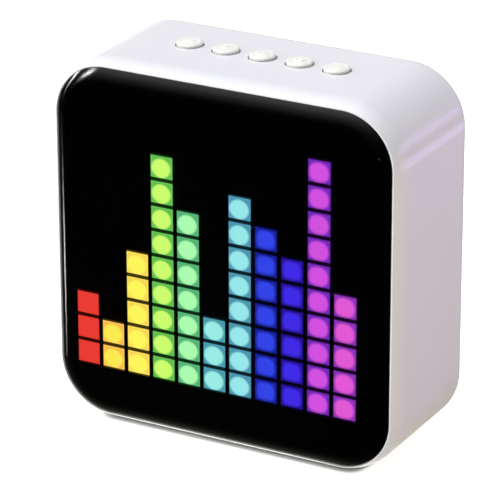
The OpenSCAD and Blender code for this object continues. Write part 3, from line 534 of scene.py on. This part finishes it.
def button_piece(number):
    """A button cap with its sign raised from a shallow dish, inside the outline of the CAD button."""
    lo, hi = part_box(f"button_{number}")
    middle_x = (lo.x + hi.x) / 2
    middle_y = (lo.y + hi.y) / 2
    bottom = lo.z / MM
    crest = hi.z / MM
    flange_r = (hi.x - lo.x) / 2 / MM
    r = flange_r - FLANGE_OUT
    field = r - CAP_RIM
    stem_z = bottom + STEM_H
    flange_z = stem_z + FLANGE_H
    side = crest - CAP_DOME - CAP_RIM
    ball = (r * r + CAP_DOME * CAP_DOME) / (2 * CAP_DOME)
    sign = SIGNS[number - 1]

    def skin(q):
        return crest - ball + math.sqrt(ball * ball - q * q)

    def top(x, y):
        q = math.hypot(x, y)
        dish = DISH_DEPTH * ease((field - q) / DISH_SLOPE)
        lift = SIGN_LIFT * ease((SIGN_FOOT - sign(x, y)) / SIGN_FLANK)
        return skin(q) - dish + min(lift, dish)

    profile = [(0.0, bottom), (STEM_R, bottom), (STEM_R, stem_z), (flange_r, stem_z)]
    profile += [(flange_r, flange_z), (r, flange_z), (r, side)]
    for a in quarter(8):
        q = field + CAP_RIM * math.cos(a)
        profile.append((q, min(side + CAP_RIM * math.sin(a), skin(q))))
    verts, faces = turned(profile, segs=144, top=top, rings=52)
    verts = [(middle_x + x * MM, middle_y + y * MM, z * MM) for x, y, z in verts]
    soften(mesh_piece(f"key_cap_{number}", verts, faces, f"key_{number}", "white_button",
                      [f"button_{number}"]))


# Behind the lens: the corner radius of lens and film, the black print round the lens's edge, and
# the microphone's place, counted from the lens's right and upper edge
LENS_CORNER = 14.4 * MM
FILM_CORNER = 13.2 * MM
FILM_BEHIND = 0.06 * MM
FILM_HOLE_R = 0.45 * MM
PRINT_IN = 0.06 * MM
PRINT_WIDE = 2.2 * MM
PRINT_FRONT = 0.05 * MM
PRINT_REAR = 0.02 * MM
MIC_IN = 3.1 * MM
MIC_DOWN = 10.5 * MM


def rounded(lo, hi, inset, corner):
    """Outline, seen from the front, of a box with round corners, drawn in by inset."""
    steps = 24
    reach = inset + corner
    outline = []
    for cx, cz, start in ((hi.x - reach, hi.z - reach, 0), (lo.x + reach, hi.z - reach, 90),
                          (lo.x + reach, lo.z + reach, 180), (hi.x - reach, lo.z + reach, 270)):
        for k in range(steps + 1):
            a = math.radians(start + 90 * k / steps)
            outline.append((cx + corner * math.cos(a), cz + corner * math.sin(a)))
    return outline


def flat_ring(outer, inner, front, rear):
    """A flat ring between two outlines with as many points each."""
    verts = []
    for (x, z), (ix, iz) in zip(outer, inner):
        verts += [(x, front, z), (x, rear, z), (ix, front, iz), (ix, rear, iz)]
    faces = []
    for a in range(0, len(verts), 4):
        b = (a + 4) % len(verts)
        faces += [(a, b, b + 1, a + 1), (a + 2, a + 3, b + 3, b + 2)]
        faces += [(a, a + 2, b + 2, b), (a + 1, b + 1, b + 3, a + 3)]
    return verts, faces


def lens_border():
    """Black print round the edge of the lens, just inside its rear face, that hides the seat."""
    lo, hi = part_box("display_lens")
    outer = rounded(lo, hi, PRINT_IN, LENS_CORNER - PRINT_IN)
    inner = rounded(lo, hi, PRINT_WIDE, LENS_CORNER - PRINT_WIDE)
    verts, faces = flat_ring(outer, inner, hi.y - PRINT_FRONT, hi.y - PRINT_REAR)
    mesh_piece("lens_border", verts, faces, "clock", "smoked_diffuser", [], smooth=False)


def pixel_film():
    """The diffuser as a film just behind the lens, with the hole for the microphone."""
    lo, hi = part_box("diffuser_sheet")
    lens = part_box("display_lens")[1]
    hole_x = lens.x - MIC_IN
    hole_z = lens.z - MIC_DOWN
    outline = rounded(lo, hi, 0.0, FILM_CORNER)
    angles = [math.atan2(z - hole_z, x - hole_x) for x, z in outline]
    hole = [(hole_x + FILM_HOLE_R * math.cos(a), hole_z + FILM_HOLE_R * math.sin(a)) for a in angles]
    verts, faces = flat_ring(outline, hole, lo.y + FILM_BEHIND, hi.y)
    mesh_piece("pixel_film", verts, faces, "clock", "smoked_diffuser", ["diffuser_sheet"], smooth=False)


def gauze():
    """Fine gauze in the microphone hole of the lens, a little below its front."""
    lo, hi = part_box("display_lens")
    r = 0.24
    lip = 0.21
    chamfer = 0.06
    deep = 0.3
    below = 0.3
    crown = 0.05

    def top(x, y):
        return crown * (1 - (x * x + y * y) / lip ** 2)

    at = Vector((hi.x - MIC_IN, lo.y + below * MM, hi.z - MIC_DOWN))
    profile = [(0.0, -deep), (r - chamfer, -deep), (r, chamfer - deep), (r, -chamfer), (lip, 0.0)]
    verts, faces = turned(profile, segs=48, top=top, rings=8)
    verts = [(at.x + x * MM, at.y - z * MM, at.z + y * MM) for x, y, z in verts]
    mesh_piece("mic_gauze", verts, faces, "clock", "dark_screw", [])


# Cover screws, in mm: shank with its point, pan head with its crown, and the cross recess
HEAD_R = 2.6
HEAD_H = 1.1
HEAD_SIDE = 0.5
HEAD_ROUND = 0.3
HEAD_ROUND_H = 0.28
HEAD_CROWN = 0.22
SHANK_R = 1.1
POINT_R = 0.4
POINT_H = 1.2
CROSS_HALF = 0.32
CROSS_REACH = 1.45
CROSS_END = 0.9
CROSS_DEPTH = 0.8
CROSS_FLANK = 0.16


def cross_screws():
    """The four cover screws, pan heads with a cross recess, each turned a little further."""
    lo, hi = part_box("rear_screws")
    xs = (lo.x + HEAD_R * MM, hi.x - HEAD_R * MM)
    zs = (lo.z + HEAD_R * MM, hi.z - HEAD_R * MM)
    back = hi.y / MM
    tip = lo.y / MM
    seat = back - HEAD_H
    shoulder = back - HEAD_SIDE

    def arm(along, across):
        return max(abs(across) - CROSS_HALF, (abs(along) - CROSS_REACH) * CROSS_END)

    def top(x, y):
        crown = HEAD_CROWN * (math.hypot(x, y) / HEAD_R) ** 2
        recess = CROSS_DEPTH * ease(0.5 - min(arm(x, y), arm(y, x)) / CROSS_FLANK)
        return back - crown - recess

    profile = [(0.0, tip), (POINT_R, tip), (SHANK_R, tip + POINT_H), (SHANK_R, seat)]
    profile += [(HEAD_R, seat), (HEAD_R, shoulder)]
    for a in quarter(4):
        profile.append((HEAD_R - HEAD_ROUND + HEAD_ROUND * math.cos(a),
                        shoulder + HEAD_ROUND_H * math.sin(a)))
    screw, screw_faces = turned(profile, segs=96, top=top, rings=44)
    verts = []
    faces = []
    for number, (sx, sz) in enumerate((x, z) for x in xs for z in zs):
        turn = 0.4 + 0.7 * number
        c = math.cos(turn) * MM
        s = math.sin(turn) * MM
        first = len(verts)
        verts += [(sx + c * x - s * y, z * MM, sz - s * x - c * y) for x, y, z in screw]
        faces += [tuple(first + k for k in face) for face in screw_faces]
    soften(mesh_piece("cover_screws", verts, faces, "clock", "dark_screw", ["rear_screws"]))


# The camera: where it stands as seen from the clock, in degrees and metres, and what it looks at
AZIMUTH = 28.67
ELEVATION = 22.10
ROLL = -0.11
DISTANCE = 0.88982
TARGET = Vector((8.38, -19.75, 57.15)) * MM
FOCAL_PIXELS = 3500
PICTURE_PIXELS = 500
SENSOR_WIDTH = 36.0

# The floor's section, in metres: where it starts to rise, how wide its curve is and how high it ends
FLOOR_FLAT = 1.5
FLOOR_BEND = 1.2
FLOOR_TOP = 4.0
# The painted shade where the clock meets the table, cut into the table's glow: how far it reaches, the
# openness of the corner at which it starts and ends, and how the table glows outside it
SHADE_REACH = 1.8 * MM
SHADE_START = 0.3
SHADE_END = 0.9
TABLE_GLOW = 0.93


def floor_section():
    """Section of a floor: flat, then a wide curve, then straight up."""
    line = [(FLOOR_FLAT, 0.0)]
    for a in quarter(24):
        line.append((FLOOR_FLAT + FLOOR_BEND * math.sin(a), FLOOR_BEND * (1 - math.cos(a))))
    return line + [(FLOOR_FLAT + FLOOR_BEND, FLOOR_TOP)]


def backdrop(name, verts, faces, material):
    obj = mesh_object(name, verts, faces)
    obj.data.materials.append(material.mat)
    obj.visible_glossy = False
    return obj


def dish(name, material):
    """A pale round floor that rises in a wide curve far away on every side."""
    segs = 72
    verts = [(0.0, 0.0, 0.0)]
    for r, z in [(0.3, 0.0), (0.8, 0.0)] + floor_section():
        verts += [(x, y, z) for x, y in circle(segs, r)]
    faces = [(0, 1 + k, 1 + (k + 1) % segs) for k in range(segs)]
    for start in range(1, len(verts) - segs, segs):
        faces += band(segs, start + segs, start)
    return backdrop(name, verts, faces, material)


def sweep(name, drop, material):
    """A wide board under the clock that rises behind it."""
    verts = []
    for y, z in [(-3.0, 0.0)] + floor_section():
        verts += [(x, y, z - drop) for x in (-5.0, 5.0)]
    faces = [(b, b + 1, b + 3, b + 2) for b in range(0, len(verts) - 2, 2)]
    obj = backdrop(name, verts, faces, material)
    obj.matrix_world = Matrix.Rotation(math.radians(AZIMUTH), 4, "Z")
    return obj


def card(name, left, right, near, far, drop, material):
    """A flat card on the board."""
    verts = [(left, far, -drop), (right, far, -drop), (right, near, -drop), (left, near, -drop)]
    return backdrop(name, verts, [(0, 1, 2, 3)], material)


def pale(name, colour, tint, glow):
    """Pale paper that also glows a little."""
    m = Tree(name)
    paper = m.noise(scale=400.0)
    m.set(Base_Color=m.mix(paper, shaded(colour, 0.99), shaded(colour, 1.01)), Roughness=0.9,
          Normal=m.bump(paper, 0.1, 0.05 * MM), IOR=1.3,
          Emission_Color=rgba(tint), Emission_Strength=glow)
    return m


def studio_floor():
    """A glowing light table, seen by the camera, whose glow is cut close to the clock as painted shade,
    and under it the board that throws light back up to the clock, with a brighter card in front."""
    table = pale("light_table", (0.3, 0.3, 0.295), (1.0, 0.995, 0.98), 0.0)
    # Painted shade: the table's glow fades where ambient occlusion finds the clock near
    near = table.node("ShaderNodeAmbientOcclusion", samples=8)
    near.inputs["Distance"].default_value = SHADE_REACH
    glow = table.span(near.outputs["AO"], SHADE_START, SHADE_END, 0.0, TABLE_GLOW, smooth=True)
    table.set(Emission_Strength=glow)
    floor = dish("studio_floor", table)
    floor.visible_diffuse = False
    floor.visible_shadow = False
    board_paper = pale("pale_board", (0.82, 0.805, 0.74), (1.0, 0.975, 0.85), 0.08)
    board = sweep("bounce_board", 0.2 * MM, board_paper)
    board.visible_camera = False
    card_paper = pale("front_card", (0.85, 0.838, 0.775), (1.0, 0.985, 0.93), 3.6)
    front = card("front_card", -49 * MM, 30 * MM, -26 * MM, -400 * MM, 0.1 * MM, card_paper)
    front.visible_camera = False


# Soft light above the floor: azimuth and elevation in degrees as seen from the clock, sharpness,
# flatness, narrowness and radiance. Azimuth 0 is in front and 90 to the right. First the main light
# above, then three weak ones to the left and in front.
SKY = (
    (-30, 78, 8.0, 0.0, 0.0, (4.82, 4.82, 4.9)),
    (-85, 60, 6.0, 0.0, 0.0, (0.32, 0.32, 0.32)),
    (-100, 30, 4.0, 0.0, 0.0, (0.22, 0.22, 0.23)),
    (-35, 30, 6.0, 0.0, 0.0, (0.36, 0.36, 0.36)),
)
# Patches for the polished faces to mirror, also from below the edge of the table, in the same form:
# a lilac and a straw glow behind to the right, two lilac tubes there, an amber glow to the right,
# three patches of pale ground to the left, then a small lamp and two tall windows to the left
GLINTS = (
    (146, -14, 10.0, 0.0, 0.0, (0.46, 0.24, 0.72)),
    (173, -38, 16.0, 0.0, 0.0, (0.40, 0.32, 0.12)),
    (150, 1.5, 6.0, 300.0, 0.0, (1.7, 1.0, 2.9)),
    (151, -16, 6.0, 400.0, 0.0, (1.6, 1.0, 2.6)),
    (120, -22, 14.0, 0.0, 0.0, (1.6, 0.7, 0.0)),
    (-124, -20, 12.0, 0.0, 0.0, (2.2, 2.15, 1.95)),
    (-122, -56, 10.0, 0.0, 0.0, (1.6, 1.5, 1.22)),
    (-136, -48, 30.0, 0.0, 0.0, (3.5, 3.4, 3.1)),
    (-66, -22.2, 1200.0, 2200.0, 0.0, (20.0, 20.0, 19.0)),
    (-67, 11, 70.0, 0.0, 600.0, (28.0, 28.0, 28.0)),
    (-48, 19, 70.0, 0.0, 200.0, (26.0, 26.0, 26.0)),
)
# Heights, as the sine of the elevation, between which the light of the sky comes up
HORIZON = (-0.31, 0.53)


def aim(azimuth, elevation):
    """Direction from the clock."""
    a = math.radians(azimuth)
    e = math.radians(elevation)
    return Vector((math.sin(a) * math.cos(e), -math.cos(a) * math.cos(e), math.sin(e)))


def soft_patch(m, azimuth, elevation, sharpness, flatness, narrowness):
    """Strength of a patch of light that fades from its middle, and may be a strip."""
    near = m.math("SUBTRACT", m.dot(aim(azimuth, elevation)), 1.0)
    depth = m.math("MULTIPLY", near, sharpness)
    upward = aim(azimuth, elevation + 90)
    sideways = aim(azimuth + 90, 0)
    for way, squeeze in ((upward, flatness), (sideways, narrowness)):
        if squeeze:
            off = m.dot(way)
            pinch = m.math("MULTIPLY", m.math("MULTIPLY", off, off), squeeze)
            depth = m.math("SUBTRACT", depth, pinch)
    return m.math("EXPONENT", depth)


def studio_world():
    """A dark room lit by soft patches."""
    world = bpy.data.worlds.new("studio")
    world.use_nodes = True
    m = Tree(None, world)
    rise = m.span(m.xyz()[2], *HORIZON, smooth=True)
    total = (0.0, 0.0, 0.0)
    for patch in SKY + GLINTS:
        *form, radiance = patch
        share = soft_patch(m, *form)
        if patch in SKY:
            share = m.math("MULTIPLY", share, rise)
        total = m.vector_math("ADD", total, m.vector_math("SCALE", radiance, share))
    m.put(total, world.node_tree.nodes["Background"].inputs["Color"])
    bpy.context.scene.world = world


def studio_camera():
    data = bpy.data.cameras.new("camera")
    data.sensor_width = SENSOR_WIDTH
    data.lens = SENSOR_WIDTH * FOCAL_PIXELS / PICTURE_PIXELS
    data.clip_start = 0.05
    data.clip_end = 20.0
    obj = bpy.data.objects.new("camera", data)
    bpy.context.scene.collection.objects.link(obj)
    back = aim(AZIMUTH, ELEVATION)
    right = aim(AZIMUTH + 90, 0)
    turn = Matrix((right, back.cross(right), back)).transposed().to_4x4()
    roll = Matrix.Rotation(math.radians(ROLL), 4, "Z")
    obj.matrix_world = Matrix.Translation(TARGET + back * DISTANCE) @ turn @ roll
    bpy.context.scene.camera = obj


for node_name, node_slot in slot_of.items():
    dress(nodes[node_name], node_slot)
for button in range(1, 6):
    button_piece(button)
lens_border()
pixel_film()
gauze()
cross_screws()

studio_floor()
studio_world()
studio_camera()
bpy.context.scene.view_settings.view_transform = "Standard"
bpy.context.view_layer.update()
